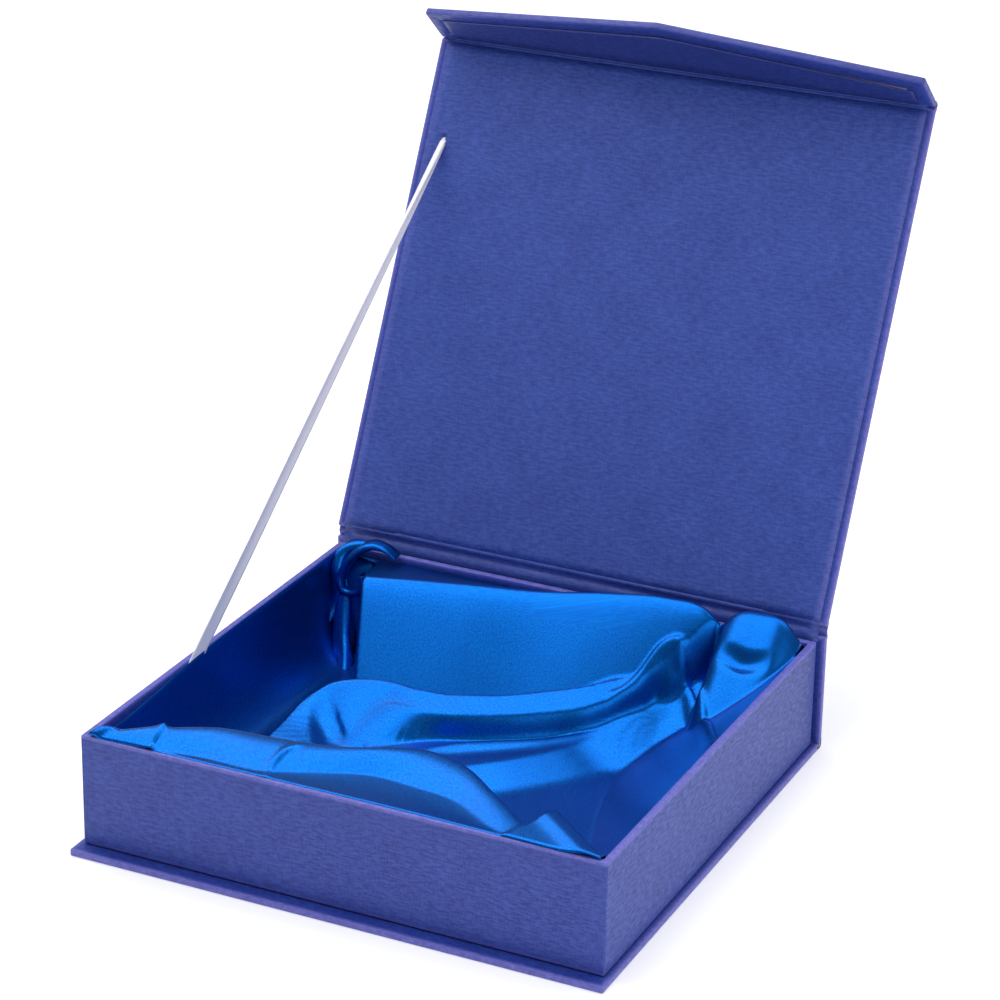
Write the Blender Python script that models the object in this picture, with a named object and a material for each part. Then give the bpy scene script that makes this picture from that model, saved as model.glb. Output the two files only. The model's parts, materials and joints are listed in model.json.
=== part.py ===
"""Book-style presentation box: a paper-covered greyboard tray on a base, with a hinged lid and a pointed flap.

Frame: metres, +Z up, origin at the centre of the base's underside, the flap's side facing -Y.
The lid stands open, held back by a ribbon stay, with its flap folded in.
"""
import math

import bmesh
import bpy
from mathutils import Vector

MM = 0.001

# Paper, glue and board, from the outer skin inwards
PAPER = 0.2 * MM
GLUE = 0.1 * MM
PANEL_THICKNESS = 3.0 * MM
LIP_OUTER = PANEL_THICKNESS - PAPER - GLUE
LIP_INNER = LIP_OUTER - PAPER
LINER_OUTER = PANEL_THICKNESS
LINER_INNER = PANEL_THICKNESS - PAPER
BOARD_OUTER = PAPER + GLUE
BOARD_INNER = LIP_INNER - GLUE
TOUCH = 0.3 * MM

# Cover panels: base, spine, lid and flap share one width
PANEL_WIDTH = 225.0 * MM
BASE_DEPTH = 222.0 * MM
BASE_BACK_GAP = 3.5 * MM
TURN_IN = 9.8 * MM
LINER_INSET = 3.0 * MM
HALF_WIDTH = PANEL_WIDTH / 2
BASE_FRONT = -BASE_DEPTH / 2
SPINE_OUTER_Y = BASE_DEPTH / 2
BASE_BACK = SPINE_OUTER_Y - BASE_BACK_GAP

# Tray
TRAY_WIDTH = 220.0 * MM
TRAY_DEPTH = 210.0 * MM
TRAY_FRONT_SETBACK = 6.5 * MM
TRAY_BOTTOM = PANEL_THICKNESS + GLUE
TRAY_TOP = 49.5 * MM
TRAY_TURN_UNDER = 14.0 * MM
TRAY_TURN_DOWN = 16.0 * MM
TRAY_CORNER_RADIUS = 0.4 * MM
WALL_THICKNESS = 2.85 * MM
WALL_BOARD_OUTER = 0.55 * MM
WALL_BOARD_INNER = WALL_THICKNESS - PAPER - GLUE
FLOOR_BOARD_THICKNESS = 2.0 * MM
TRAY_CENTRE_Y = BASE_FRONT + TRAY_FRONT_SETBACK + TRAY_DEPTH / 2
TRAY_FRONT = TRAY_CENTRE_Y - TRAY_DEPTH / 2
TRAY_BACK = TRAY_CENTRE_Y + TRAY_DEPTH / 2
BOARD_BOTTOM = TRAY_BOTTOM + PAPER + GLUE
BOARD_TOP = TRAY_TOP - PAPER - GLUE

# Paper stays glued round the tray's four corners, under the wrap
STAY_OUTER = PAPER + GLUE
STAY_THICKNESS = 0.15 * MM
STAY_LEG = 15.0 * MM

# Spine
SPINE_TOP = 50.6 * MM
SPINE_BOTTOM = 0.5 * MM
CREASE_TOP = 2.7 * MM
GLUE_PAD_X = 60.0 * MM
GLUE_PAD_SIZE = (40.0 * MM, 30.0 * MM)

# Lid hinge: the crease along the spine's top outer edge
LID_AXIS_Y = SPINE_OUTER_Y - 0.1 * MM
LID_AXIS_Z = 54.0 * MM
LID_OPEN_ANGLE = math.radians(116.5)
LID_LENGTH = 219.0 * MM
LID_BACK_EDGE = 0.4 * MM
HINGE_LINER_TOP = 54.9 * MM

# Flap: pointed, folded in from the lid's front crease; boards are mitred towards the crease
FLAP_FOLD_ANGLE = math.radians(76.0)
FLAP_END_DEPTH = 24.5 * MM
FLAP_TIP_DEPTH = 42.0 * MM
MITRE_START = 0.5 * MM
CREASE_HALF_WIDTH = 1.2 * MM
FLAP_LINER_INSET = 7.0 * MM

# Magnets in the flap and steel keepers in the tray's front wall
DISC_RADIUS = 6.0 * MM
DISC_SIDES = 32
POCKET_CLEARANCE = 0.2 * MM
MAGNET_X = 45.0 * MM
MAGNET_DEPTH = 22.0 * MM
MAGNET_THICKNESS = 1.3 * MM
KEEPER_THICKNESS = 1.0 * MM

# Satin lining: a soft tub inside the tray
SATIN_INSET = 3.7 * MM
SATIN_TOP = 48.6 * MM
SATIN_RIM = 3.5 * MM
SATIN_SLOPE = 10.0 * MM
SATIN_FLOOR = 9.0 * MM
SATIN_CORNER_RADIUS = 6.0 * MM

# Ribbon stay
RIBBON_WIDTH = 8.5 * MM
RIBBON_THICKNESS = 0.3 * MM
RIBBON_WALL_GAP = 0.2 * MM
RIBBON_TRAY_Y = -22.0 * MM
RIBBON_TRAY_Z = 48.0 * MM
RIBBON_TRAY_LENGTH = 25.0 * MM
RIBBON_SLOT_X = -101.55 * MM
RIBBON_SLOT_REACH = 173.0 * MM
RIBBON_SLOT_SIZE = (0.9 * MM, 9.5 * MM)
RIBBON_LID_LENGTH = 15.0 * MM
RIBBON_END_THICKNESS = 0.1 * MM

NAVY = (0.045, 0.062, 0.30)
DEEP_NAVY = (0.010, 0.018, 0.14)
GREYBOARD = (0.42, 0.39, 0.34)
SATIN_BLUE = (0.004, 0.13, 0.62)
RIBBON_WHITE = (0.80, 0.80, 0.92)
STEEL = (0.62, 0.62, 0.64)


# ---------------------------------------------------------------- outlines

def normal_of(a, b):
    """Unit vector to the left of the way from a to b."""
    dx, dy = b[0] - a[0], b[1] - a[1]
    length = math.hypot(dx, dy)
    return -dy / length, dx / length


def offset_path(path, distance):
    """An open path moved to its left by distance, with mitred corners."""
    moved = []
    for i, point in enumerate(path):
        before = normal_of(path[i - 1], point) if i else normal_of(point, path[1])
        after = normal_of(point, path[i + 1]) if i < len(path) - 1 else before
        scale = distance / (1 + before[0] * after[0] + before[1] * after[1])
        moved.append((point[0] + (before[0] + after[0]) * scale,
                      point[1] + (before[1] + after[1]) * scale))
    return moved


def folded_sheet(path, thickness=PAPER):
    """Closed outline of a sheet that follows path and has its thickness to the path's left."""
    return path + offset_path(path, thickness)[::-1]


def c_fold(half_width, lip_width, depth, face):
    """A sheet over a panel's outer face, round both side edges and back over the inner face.

    Points are (across, height), where face is the height of the outer face and the inner face is lower.
    """
    inner = face - depth
    return folded_sheet([
        (-half_width + lip_width, inner),
        (-half_width, inner),
        (-half_width, face),
        (half_width, face),
        (half_width, inner),
        (half_width - lip_width, inner),
    ], -PAPER)


def rounded_rectangle(half_x, half_y, radius, segments=4):
    """Counter-clockwise outline about the origin; every call with the same segments has as many points."""
    points = []
    for quarter, (sx, sy) in enumerate(((1, 1), (-1, 1), (-1, -1), (1, -1))):
        for step in range(segments + 1):
            angle = math.pi / 2 * (quarter + step / segments)
            points.append((sx * (half_x - radius) + radius * math.cos(angle),
                           sy * (half_y - radius) + radius * math.sin(angle)))
    return points


# ---------------------------------------------------------------- solids

def along_x(a, b, c):
    """Outline in Y and Z, extruded along X."""
    return Vector((c, a, b))


def along_y(a, b, c):
    """Outline in X and Z, extruded along Y."""
    return Vector((a, c, b))


def along_z(a, b, c):
    """Outline in X and Y, extruded along Z."""
    return Vector((a, b, c))


def flush(value):
    """A square end for a prism."""
    return lambda a, b: value


def closed(bm):
    """Faces point outwards, and the mesh is triangulated."""
    bmesh.ops.recalc_face_normals(bm, faces=bm.faces[:])
    bmesh.ops.triangulate(bm, faces=bm.faces[:])
    return bm


def prism(outline, low, high, place=along_z):
    """Solid between two ends; each end is a function of the outline's point."""
    bm = bmesh.new()
    start = [bm.verts.new(place(a, b, low(a, b))) for a, b in outline]
    end = [bm.verts.new(place(a, b, high(a, b))) for a, b in outline]
    for i in range(len(outline)):
        j = (i + 1) % len(outline)
        bm.faces.new((start[i], start[j], end[j], end[i]))
    bm.faces.new(start)
    bm.faces.new(end)
    return closed(bm)


def block(x, y, z):
    """Box from its three ranges."""
    outline = [(x[0], y[0]), (x[1], y[0]), (x[1], y[1]), (x[0], y[1])]
    return prism(outline, flush(z[0]), flush(z[1]))


def disc(x, y, z, radius, place=along_z):
    """Round plate centred on (x, y) in the outline's plane, between two heights."""
    turn = 2 * math.pi / DISC_SIDES
    outline = [(x + radius * math.cos(turn * i), y + radius * math.sin(turn * i)) for i in range(DISC_SIDES)]
    return prism(outline, flush(z[0]), flush(z[1]), place)


def ring(profile, outline_at):
    """Closed profile of (inset, height) swept once round the outline that belongs to each inset."""
    bm = bmesh.new()
    loops = [[bm.verts.new((x, y, height)) for x, y in outline_at(inset)] for inset, height in profile]
    count = len(loops[0])
    for a, b in zip(loops, loops[1:] + loops[:1]):
        for i in range(count):
            j = (i + 1) % count
            bm.faces.new((a[i], a[j], b[j], b[i]))
    return closed(bm)


def pan(outline, root, place):
    """Wrap of a panel that is folded over every edge but its root edge.

    outline runs from one end of the root edge round to the other, with the panel on its left.
    place takes (across, along, depth under the outer face); root gives the root edge's place for a depth.
    """
    def level(inset, depth):
        points = offset_path(outline, inset)
        points[0] = (points[0][0], root(depth))
        points[-1] = (points[-1][0], root(depth))
        return [place(a, b, depth) for a, b in points]

    levels = [level(0, 0), level(0, LIP_OUTER), level(TURN_IN, LIP_OUTER),
              level(TURN_IN, LIP_INNER), level(PAPER, LIP_INNER), level(PAPER, PAPER)]
    bm = bmesh.new()
    rows = [[bm.verts.new(point) for point in points] for points in levels]
    for a, b in zip(rows, rows[1:]):
        for i in range(len(outline) - 1):
            bm.faces.new((a[i], a[i + 1], b[i + 1], b[i]))
    bm.faces.new(rows[0])
    bm.faces.new(rows[-1])
    bm.faces.new([row[0] for row in rows])
    bm.faces.new([row[-1] for row in rows])
    bm.faces.new((rows[0][0], rows[0][-1], rows[-1][-1], rows[-1][0]))
    return closed(bm)


# ---------------------------------------------------------------- scene objects

def clear_scene():
    for obj in list(bpy.data.objects):
        bpy.data.objects.remove(obj, do_unlink=True)


def material(name, colour, roughness, metallic=0.0):
    mat = bpy.data.materials.new(name)
    mat.use_nodes = True
    shader = mat.node_tree.nodes["Principled BSDF"]
    shader.inputs["Base Color"].default_value = (*colour, 1.0)
    shader.inputs["Roughness"].default_value = roughness
    shader.inputs["Metallic"].default_value = metallic
    mat.diffuse_color = (*colour, 1.0)
    return mat


def add(name, bm, mat, parent=None):
    """One named part from a bmesh, in its parent's axes."""
    mesh = bpy.data.meshes.new(name)
    bm.to_mesh(mesh)
    bm.free()
    mesh.materials.append(mat)
    obj = bpy.data.objects.new(name, mesh)
    bpy.context.collection.objects.link(obj)
    obj.parent = parent
    return obj


def axis_empty(name, location, angle, parent=None):
    """Empty on a hinge axis along X; the parts under it are drawn in the closed or flat position."""
    empty = bpy.data.objects.new(name, None)
    bpy.context.collection.objects.link(empty)
    empty.parent = parent
    empty.location = location
    empty.rotation_euler = (angle, 0, 0)
    return empty


def cut(obj, cutter_bm, name):
    """Takes a hidden cutter out of obj."""
    cutter = add(name, cutter_bm, obj.data.materials[0], obj.parent)
    cutter.hide_render = True
    cutter.display_type = "WIRE"
    modifier = obj.modifiers.new(name, "BOOLEAN")
    modifier.operation = "DIFFERENCE"
    modifier.solver = "EXACT"
    modifier.object = cutter


# ---------------------------------------------------------------- base and spine

def build_base(board, paper):
    outline = [(-HALF_WIDTH, BASE_BACK), (-HALF_WIDTH, BASE_FRONT),
               (HALF_WIDTH, BASE_FRONT), (HALF_WIDTH, BASE_BACK)]
    add("base_wrap", pan(outline, lambda depth: BASE_BACK, along_z), paper)
    board_x = HALF_WIDTH - BOARD_OUTER
    add("base_board", block((-board_x, board_x), (BASE_FRONT + BOARD_OUTER, BASE_BACK),
                            (BOARD_OUTER, BOARD_INNER)), board)
    corner = folded_sheet([(BASE_BACK + TOUCH, 0), (SPINE_OUTER_Y, 0), (SPINE_OUTER_Y, CREASE_TOP)])
    add("base_crease_paper", prism(corner, flush(-HALF_WIDTH), flush(HALF_WIDTH), along_x), paper)


def build_spine(board, paper, liner):
    def spine_y(depth):
        return SPINE_OUTER_Y - depth

    wrap = [(x, depth) for x, depth in c_fold(HALF_WIDTH, TURN_IN, LIP_OUTER, SPINE_OUTER_Y)]
    add("spine_wrap", prism(wrap, flush(PANEL_THICKNESS), flush(SPINE_TOP)), paper)
    board_x = HALF_WIDTH - BOARD_OUTER
    add("spine_board", block((-board_x, board_x), (spine_y(BOARD_INNER), spine_y(BOARD_OUTER)),
                             (SPINE_BOTTOM, SPINE_TOP - PAPER - GLUE)), board)
    liner_path = [(spine_y(LINER_OUTER), SPINE_BOTTOM), (spine_y(LINER_OUTER), SPINE_TOP),
                  (spine_y(BOARD_OUTER + GLUE), SPINE_TOP)]
    liner_x = HALF_WIDTH - TURN_IN - TOUCH
    add("spine_liner", prism(folded_sheet(liner_path, -PAPER), flush(-liner_x), flush(liner_x), along_x), liner)
    crease_y = (SPINE_OUTER_Y - PAPER, SPINE_OUTER_Y)
    add("lid_crease_paper", block((-HALF_WIDTH, HALF_WIDTH), crease_y,
                                  (SPINE_TOP + TOUCH, LID_AXIS_Z - TOUCH)), paper)
    hinge_y = spine_y(LINER_OUTER) + GLUE
    add("lid_hinge_liner", block((-liner_x, liner_x), (hinge_y, hinge_y + PAPER),
                                 (SPINE_TOP + TOUCH, HINGE_LINER_TOP)), liner)


def build_glue_pads(mat):
    pad_y = (TRAY_BACK + TOUCH, SPINE_OUTER_Y - PANEL_THICKNESS - TOUCH)
    half_x, half_z = GLUE_PAD_SIZE[0] / 2, GLUE_PAD_SIZE[1] / 2
    middle = (TRAY_BOTTOM + TRAY_TOP) / 2
    for side, sign in (("left", -1), ("right", 1)):
        x = sign * GLUE_PAD_X
        add(f"spine_glue_pad_{side}", block((x - half_x, x + half_x), pad_y, (middle - half_z, middle + half_z)), mat)


# ---------------------------------------------------------------- tray

def tray_outline(inset):
    """Plan outline of the tray, moved inwards; the corners stay rounded, at least a little."""
    radius = max(TRAY_CORNER_RADIUS - inset, GLUE)
    half_x, half_y = TRAY_WIDTH / 2 - inset, TRAY_DEPTH / 2 - inset
    return [(x, y + TRAY_CENTRE_Y) for x, y in rounded_rectangle(half_x, half_y, radius)]


def build_tray_wrap(paper):
    path = [(TRAY_TURN_UNDER, TRAY_BOTTOM), (0, TRAY_BOTTOM), (0, TRAY_TOP),
            (WALL_THICKNESS, TRAY_TOP), (WALL_THICKNESS, TRAY_TOP - TRAY_TURN_DOWN)]
    add("tray_wrap", ring(folded_sheet(path, -PAPER), tray_outline), paper)


def build_tray_boards(board, steel):
    outer_x, inner_x = TRAY_WIDTH / 2 - WALL_BOARD_OUTER, TRAY_WIDTH / 2 - WALL_BOARD_INNER
    front = (TRAY_FRONT + WALL_BOARD_OUTER, TRAY_FRONT + WALL_BOARD_INNER)
    back = (TRAY_BACK - WALL_BOARD_INNER, TRAY_BACK - WALL_BOARD_OUTER)
    height = (BOARD_BOTTOM, BOARD_TOP)
    between = (front[1] + GLUE, back[0] - GLUE)
    front_wall = add("tray_wall_front", block((-outer_x, outer_x), front, height), board)
    add("tray_wall_back", block((-outer_x, outer_x), back, height), board)
    add("tray_wall_left", block((-outer_x, -inner_x), between, height), board)
    add("tray_wall_right", block((inner_x, outer_x), between, height), board)
    floor_x = inner_x - GLUE
    add("tray_floor_board", block((-floor_x, floor_x), between,
                                  (BOARD_BOTTOM, BOARD_BOTTOM + FLOOR_BOARD_THICKNESS)), board)
    keeper_z = LID_AXIS_Z - MAGNET_DEPTH
    for side, sign in (("left", -1), ("right", 1)):
        x = sign * MAGNET_X
        pocket_y = (front[0] - TOUCH, front[0] + KEEPER_THICKNESS + POCKET_CLEARANCE)
        keeper_y = (front[0] + GLUE, front[0] + GLUE + KEEPER_THICKNESS)
        cut(front_wall, disc(x, keeper_z, pocket_y, DISC_RADIUS + POCKET_CLEARANCE, along_y), f"cut_keeper_{side}")
        add(f"keeper_plate_{side}", disc(x, keeper_z, keeper_y, DISC_RADIUS, along_y), steel)


def build_corner_stays(mat):
    """Gummed paper strips round the outside of the tray's corners."""
    half_x, half_y = TRAY_WIDTH / 2 - STAY_OUTER, TRAY_DEPTH / 2 - STAY_OUTER
    height = (BOARD_BOTTOM + GLUE, BOARD_TOP - GLUE)
    for name, sx, sy in (("front_left", -1, -1), ("front_right", 1, -1), ("back_right", 1, 1), ("back_left", -1, 1)):
        path = [(sx * (half_x - STAY_LEG), sy * half_y), (sx * half_x, sy * half_y),
                (sx * half_x, sy * (half_y - STAY_LEG))]
        outline = folded_sheet(path, -sx * sy * STAY_THICKNESS)
        outline = [(x, y + TRAY_CENTRE_Y) for x, y in outline]
        add(f"corner_stay_{name}", prism(outline, flush(height[0]), flush(height[1])), mat)


def build_satin(satin):
    """Tub of draped satin: upright outside, sloping inside."""
    def outline_at(inset):
        radius = max(SATIN_CORNER_RADIUS - inset + SATIN_INSET, GLUE)
        half_x, half_y = TRAY_WIDTH / 2 - inset, TRAY_DEPTH / 2 - inset
        return [(x, y + TRAY_CENTRE_Y) for x, y in rounded_rectangle(half_x, half_y, radius)]

    bottom = BOARD_BOTTOM + FLOOR_BOARD_THICKNESS + TOUCH
    rim = SATIN_INSET + SATIN_RIM
    levels = [(SATIN_INSET, bottom), (SATIN_INSET, SATIN_TOP), (rim, SATIN_TOP), (rim + SATIN_SLOPE, SATIN_FLOOR)]
    bm = bmesh.new()
    rows = [[bm.verts.new((x, y, z)) for x, y in outline_at(inset)] for inset, z in levels]
    count = len(rows[0])
    for a, b in zip(rows, rows[1:]):
        for i in range(count):
            j = (i + 1) % count
            bm.faces.new((a[i], a[j], b[j], b[i]))
    bm.faces.new(rows[0])
    bm.faces.new(rows[-1])
    add("satin_lining", closed(bm), satin)


# ---------------------------------------------------------------- lid

def lid_mitre(height):
    """Where the lid's layers end at the front crease, at a height above the lid's outer face."""
    return -LID_LENGTH + MITRE_START - height


def build_lid(axis, board, paper, liner):
    back = flush(-LID_BACK_EDGE)

    def front(across, height):
        return lid_mitre(height)

    def wrap_front(across, height):
        return -LID_LENGTH + CREASE_HALF_WIDTH + TOUCH + max(-height - PAPER, 0)

    wrap = c_fold(HALF_WIDTH, TURN_IN, LIP_OUTER, 0)
    add("lid_wrap", prism(wrap, wrap_front, back, along_y), paper, axis)
    board_x = HALF_WIDTH - BOARD_OUTER
    board_outline = [(-board_x, -BOARD_INNER), (board_x, -BOARD_INNER),
                     (board_x, -BOARD_OUTER), (-board_x, -BOARD_OUTER)]
    add("lid_board", prism(board_outline, front, back, along_y), board, axis)
    liner_x = HALF_WIDTH - LINER_INSET
    liner_outline = [(-liner_x, -LINER_OUTER), (liner_x, -LINER_OUTER),
                     (liner_x, -LINER_INNER), (-liner_x, -LINER_INNER)]
    sheet = add("lid_liner", prism(liner_outline, front, back, along_y), liner, axis)
    half_slot, half_run = RIBBON_SLOT_SIZE[0] / 2, RIBBON_SLOT_SIZE[1] / 2
    cut(sheet, block((RIBBON_SLOT_X - half_slot, RIBBON_SLOT_X + half_slot),
                     (-RIBBON_SLOT_REACH - half_run, -RIBBON_SLOT_REACH + half_run),
                     (-LINER_OUTER - TOUCH, -LINER_INNER + TOUCH / 4)), "cut_ribbon_slot")


def build_lid_ribbon_end(axis, ribbon):
    """The ribbon's upper end: through the slot, then flat under the liner."""
    x0 = RIBBON_SLOT_X - RIBBON_THICKNESS / 2
    x1 = RIBBON_SLOT_X + RIBBON_THICKNESS / 2
    shelf = -(LIP_INNER + GLUE / 2)
    outline = [(x0, shelf), (x0, -LINER_OUTER), (x1, -LINER_OUTER), (x1, shelf - RIBBON_END_THICKNESS),
               (x0 + RIBBON_LID_LENGTH, shelf - RIBBON_END_THICKNESS), (x0 + RIBBON_LID_LENGTH, shelf)]
    half = RIBBON_WIDTH / 2
    add("ribbon_end_lid", prism(outline, flush(-RIBBON_SLOT_REACH - half), flush(-RIBBON_SLOT_REACH + half), along_y),
        ribbon, axis)


# ---------------------------------------------------------------- flap

def flap_outline():
    """Pointed flap, from the left end of its root edge round to the right; the root is at the crease."""
    return [(-HALF_WIDTH, 0), (-HALF_WIDTH, -FLAP_END_DEPTH), (0, -FLAP_TIP_DEPTH),
            (HALF_WIDTH, -FLAP_END_DEPTH), (HALF_WIDTH, 0)]


def flap_layer(inset, depths, root):
    """Flat layer of the flap between two depths, inset from its free edges."""
    outline = offset_path(flap_outline(), inset)
    bm = bmesh.new()
    rows = []
    for depth in depths:
        points = [(outline[0][0], root(depth))] + outline[1:-1] + [(outline[-1][0], root(depth))]
        rows.append([bm.verts.new((x, y, -depth)) for x, y in points])
    for i in range(len(outline)):
        j = (i + 1) % len(outline)
        bm.faces.new((rows[0][i], rows[0][j], rows[1][j], rows[1][i]))
    bm.faces.new(rows[0])
    bm.faces.new(rows[1])
    return closed(bm)


def flap_mitre(depth):
    """Where the flap's layers start, at a depth under its outer face."""
    return -MITRE_START - depth


def build_flap(axis, board, paper, liner, magnet):
    def wrap_root(depth):
        return -CREASE_HALF_WIDTH - TOUCH - max(depth - PAPER, 0)

    def under(across, along, depth):
        return Vector((across, along, -depth))

    add("flap_wrap", pan(flap_outline(), wrap_root, under), paper, axis)
    sheet = add("flap_board", flap_layer(BOARD_OUTER, (BOARD_OUTER, BOARD_INNER), flap_mitre), board, axis)
    add("flap_liner", flap_layer(FLAP_LINER_INSET, (LINER_INNER, LINER_OUTER), flap_mitre), liner, axis)
    for side, sign in (("left", -1), ("right", 1)):
        x = sign * MAGNET_X
        low = -BOARD_INNER + GLUE
        pocket = (-BOARD_INNER - GLUE, low + MAGNET_THICKNESS + GLUE)
        cut(sheet, disc(x, -MAGNET_DEPTH, pocket, DISC_RADIUS + POCKET_CLEARANCE), f"cut_magnet_{side}")
        add(f"flap_magnet_{side}", disc(x, -MAGNET_DEPTH, (low, low + MAGNET_THICKNESS), DISC_RADIUS), magnet, axis)


def build_flap_crease(lid_axis, paper):
    """Outer paper over the front crease, bent by the flap's fold angle."""
    reach = CREASE_HALF_WIDTH
    bend = (-LID_LENGTH - reach * math.cos(FLAP_FOLD_ANGLE), -reach * math.sin(FLAP_FOLD_ANGLE))
    path = [(-LID_LENGTH + reach, 0), (-LID_LENGTH, 0), bend]
    add("flap_crease_paper", prism(folded_sheet(path), flush(-HALF_WIDTH), flush(HALF_WIDTH), along_x),
        paper, lid_axis)


# ---------------------------------------------------------------- ribbon

def lid_point(x, reach, depth):
    """A point on the open lid: reach from the hinge axis, depth under the outer face."""
    c, s = math.cos(-LID_OPEN_ANGLE), math.sin(-LID_OPEN_ANGLE)
    return Vector((x, LID_AXIS_Y - reach * c + depth * s, LID_AXIS_Z - reach * s - depth * c))


def strip(start, end, width_at_start, width_at_end, thickness):
    """Flat ribbon solid from start to end; the width vectors span it, and its thickness lies along X."""
    half = Vector((thickness / 2, 0, 0))
    bm = bmesh.new()
    rows = []
    for point, width in ((start, width_at_start), (end, width_at_end)):
        corners = (point - width / 2 - half, point + width / 2 - half,
                   point + width / 2 + half, point - width / 2 + half)
        rows.append([bm.verts.new(corner) for corner in corners])
    for i in range(4):
        j = (i + 1) % 4
        bm.faces.new((rows[0][i], rows[0][j], rows[1][j], rows[1][i]))
    bm.faces.new(rows[0])
    bm.faces.new(rows[1])
    return closed(bm)


def build_ribbon(ribbon):
    wall_inner = -TRAY_WIDTH / 2 + WALL_THICKNESS
    anchor = Vector((wall_inner + RIBBON_WALL_GAP + RIBBON_THICKNESS / 2, RIBBON_TRAY_Y, RIBBON_TRAY_Z))
    slot = lid_point(RIBBON_SLOT_X, RIBBON_SLOT_REACH, PANEL_THICKNESS)
    run = (slot - anchor).normalized()
    slope = math.atan2(run.z, run.y)
    square = Vector((0, -math.sin(slope), math.cos(slope))) * RIBBON_WIDTH
    lid_run = (lid_point(0, 1, 0) - lid_point(0, 0, 0)).normalized() * RIBBON_WIDTH
    in_wall = Vector((0, math.cos(slope), math.sin(slope)))
    add("ribbon_end_tray", strip(anchor - in_wall * RIBBON_TRAY_LENGTH, anchor - in_wall * TOUCH,
                                 square, square, RIBBON_THICKNESS), ribbon)
    stand_off = 2 * TOUCH / abs(run.dot(Vector((0, math.sin(LID_OPEN_ANGLE), math.cos(LID_OPEN_ANGLE)))))
    add("lid_stay_ribbon", strip(anchor, slot - run * stand_off, square, lid_run, RIBBON_THICKNESS), ribbon)


# ---------------------------------------------------------------- whole box

def build():
    clear_scene()
    wrap_paper = material("wrap_paper", NAVY, 0.5)
    liner_paper = material("liner_paper", DEEP_NAVY, 0.55)
    greyboard = material("greyboard", GREYBOARD, 0.9)
    stay_paper = material("stay_paper", (0.55, 0.42, 0.28), 0.8)
    glue_pad = material("glue_pad", (0.75, 0.74, 0.70), 0.7)
    satin = material("satin", SATIN_BLUE, 0.35)
    ribbon = material("ribbon", RIBBON_WHITE, 0.4)
    steel = material("steel", STEEL, 0.35, 1.0)
    magnet = material("magnet", STEEL, 0.2, 1.0)

    build_base(greyboard, wrap_paper)
    build_spine(greyboard, wrap_paper, liner_paper)
    build_glue_pads(glue_pad)
    build_tray_wrap(wrap_paper)
    build_tray_boards(greyboard, steel)
    build_corner_stays(stay_paper)
    build_satin(satin)

    lid_axis = axis_empty("lid_axis", (0, LID_AXIS_Y, LID_AXIS_Z), -LID_OPEN_ANGLE)
    build_lid(lid_axis, greyboard, wrap_paper, liner_paper)
    build_lid_ribbon_end(lid_axis, ribbon)
    build_flap_crease(lid_axis, wrap_paper)
    flap_axis = axis_empty("flap_axis", (0, -LID_LENGTH, 0), FLAP_FOLD_ANGLE, lid_axis)
    build_flap(flap_axis, greyboard, wrap_paper, liner_paper, magnet)
    build_ribbon(ribbon)


build()
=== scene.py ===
"""Looks of the presentation box: paper skins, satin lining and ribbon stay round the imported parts.

Lengths are in metres. The satin is worked out in millimetres and scaled at the end.
"""
import json
import math

import bmesh
import bpy
import numpy as np
from mathutils import Matrix, Vector


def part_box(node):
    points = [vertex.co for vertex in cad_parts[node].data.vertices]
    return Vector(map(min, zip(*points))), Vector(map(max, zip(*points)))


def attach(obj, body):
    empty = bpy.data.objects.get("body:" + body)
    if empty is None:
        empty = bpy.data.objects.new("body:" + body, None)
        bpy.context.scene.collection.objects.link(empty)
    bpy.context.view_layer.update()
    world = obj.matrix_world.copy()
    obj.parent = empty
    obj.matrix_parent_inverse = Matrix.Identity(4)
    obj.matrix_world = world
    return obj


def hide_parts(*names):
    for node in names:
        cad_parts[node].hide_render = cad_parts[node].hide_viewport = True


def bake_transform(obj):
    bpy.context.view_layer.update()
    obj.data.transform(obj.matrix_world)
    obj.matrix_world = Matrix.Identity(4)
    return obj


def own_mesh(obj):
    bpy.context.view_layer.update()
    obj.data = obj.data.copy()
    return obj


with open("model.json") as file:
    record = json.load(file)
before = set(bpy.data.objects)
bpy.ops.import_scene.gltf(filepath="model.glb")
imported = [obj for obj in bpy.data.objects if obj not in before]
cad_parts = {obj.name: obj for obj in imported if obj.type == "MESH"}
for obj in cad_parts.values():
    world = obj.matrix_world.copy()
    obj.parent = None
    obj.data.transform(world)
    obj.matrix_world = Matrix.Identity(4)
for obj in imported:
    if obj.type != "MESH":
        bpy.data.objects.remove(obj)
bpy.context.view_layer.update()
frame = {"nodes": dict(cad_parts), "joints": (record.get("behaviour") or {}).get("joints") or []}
MM = 0.001
PAPER = 0.2 * MM

# -------- axes of the three bodies

JOINTS = {joint["name"]: joint for joint in frame["joints"]}
LID_AXIS = Vector(JOINTS["lid_hinge"]["pos_m"])
FLAP_AXIS = Vector(JOINTS["flap_hinge"]["pos_m"])
FLAP_FOLD = math.radians(JOINTS["flap_hinge"]["range_deg"][1])


def outward(run):
    """The outer side's direction of a panel that runs away from its hinge along run."""
    return Vector((0, run.z, -run.y))


LID_RUN = (FLAP_AXIS - LID_AXIS).normalized()
LID_OUT = outward(LID_RUN)
FLAP_RUN = LID_RUN * math.cos(FLAP_FOLD) - LID_OUT * math.sin(FLAP_FOLD)
FLAP_OUT = outward(FLAP_RUN)
LID_LENGTH = (FLAP_AXIS - LID_AXIS).length


def span(node, origin, axis):
    """How far a CAD node reaches from origin along an axis."""
    reach = [(v.co - origin).dot(axis) for v in frame["nodes"][node].data.vertices]
    return min(reach), max(reach)


def on_lid(across, along, depth):
    """A point of the lid: along from the hinge axis, depth under the outer face."""
    return LID_AXIS + Vector((across, 0, 0)) + LID_RUN * along - LID_OUT * depth


def on_flap(across, along, depth):
    return FLAP_AXIS + Vector((across, 0, 0)) + FLAP_RUN * along - FLAP_OUT * depth


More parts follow.
